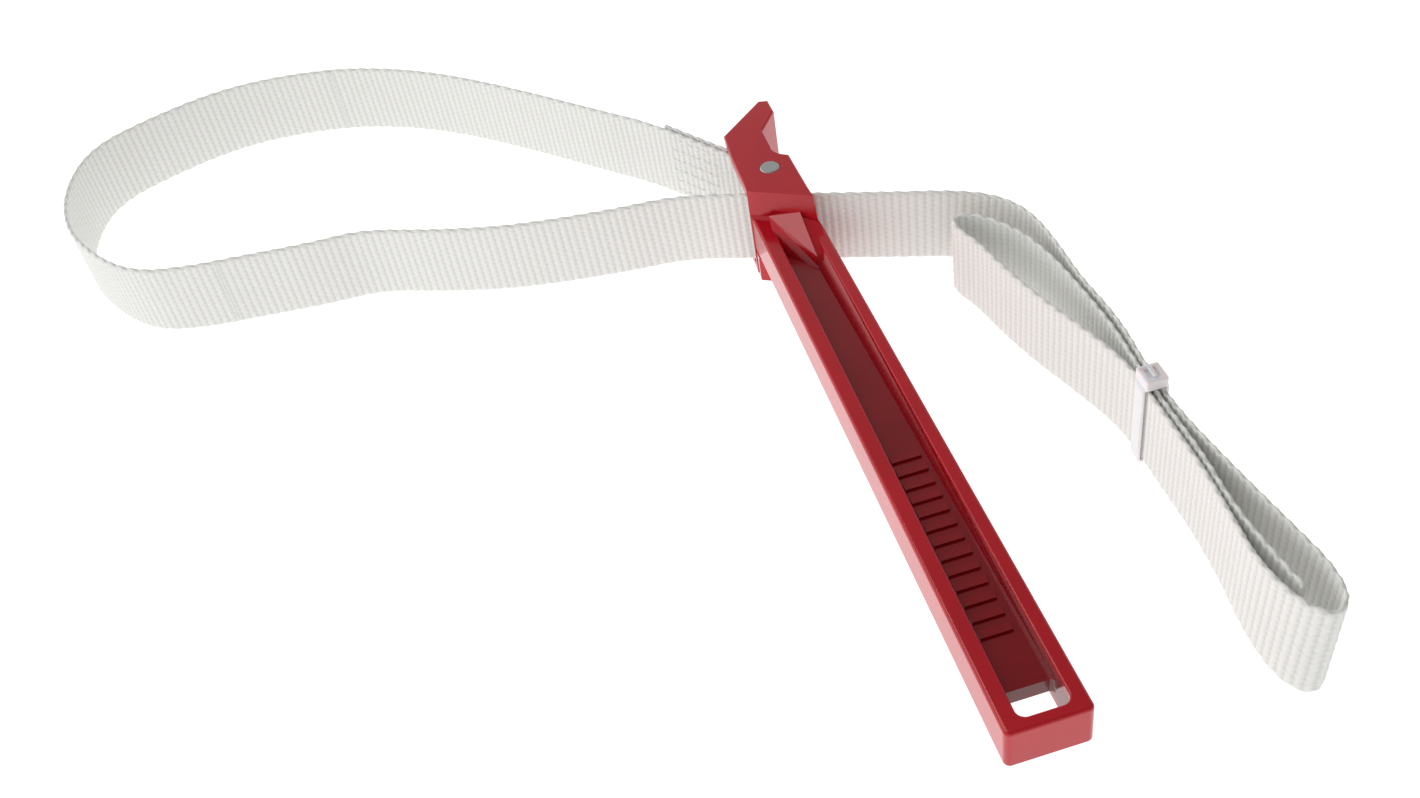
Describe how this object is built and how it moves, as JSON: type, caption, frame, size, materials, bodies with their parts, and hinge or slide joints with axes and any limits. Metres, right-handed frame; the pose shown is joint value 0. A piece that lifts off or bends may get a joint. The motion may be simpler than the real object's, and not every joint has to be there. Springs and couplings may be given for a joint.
{
  "type": "strap wrench",
  "caption": "Strap wrench: a cast I-section handle with a forked hooked head, a pivot pin and a woven strap that loops round a pipe and pulls back through the head.",
  "frame": {"origin": "on the pivot pin's axis, in the plane of the lower cheek's outer face, which is the face the wrench rests on", "axes": "+Z along the pivot pin; +Y from the pin towards the hooked nose, so the handle runs along -Y; +X towards the strap's tail"},
  "size_m": [0.3313, 0.3849, 0.0362],
  "materials": {
    "red_paint": "gloss",
    "pin_steel": "satin",
    "webbing": "woven",
    "sewing_thread": "thread",
    "tie_nylon": "translucent"
  },
  "bodies": {
    "handle": {"handle_casting": "red_paint", "pivot_pin": "pin_steel"},
    "strap_anchor": {"strap_eye": "webbing", "strap_sewn_lap": "webbing", "strap_fixed_strand": "webbing", "eye_stitching": "sewing_thread"},
    "strap_tail": {"strap_loop_bend": "webbing", "strap_return_strand": "webbing", "strap_slot_run": "webbing", "strap_tail_run": "webbing", "strap_hank_end": "webbing", "strap_hank_fold": "webbing", "strap_free_end": "webbing", "cable_tie": "tie_nylon"}
  },
  "joints": [
    {"name": "eye_swivel", "type": "hinge", "parent": "handle", "child": "strap_anchor", "pos_m": [0, 0, 0], "axis": [0, 0, 1], "range_deg": [-3, 4]},
    {"name": "strap_feed", "type": "slide", "parent": "strap_anchor", "child": "strap_tail", "axis": [0.9131, -0.4078, 0], "range_m": [-0.03, 0.02], "deforming": ["strap_loop_bend"]}
  ]
}
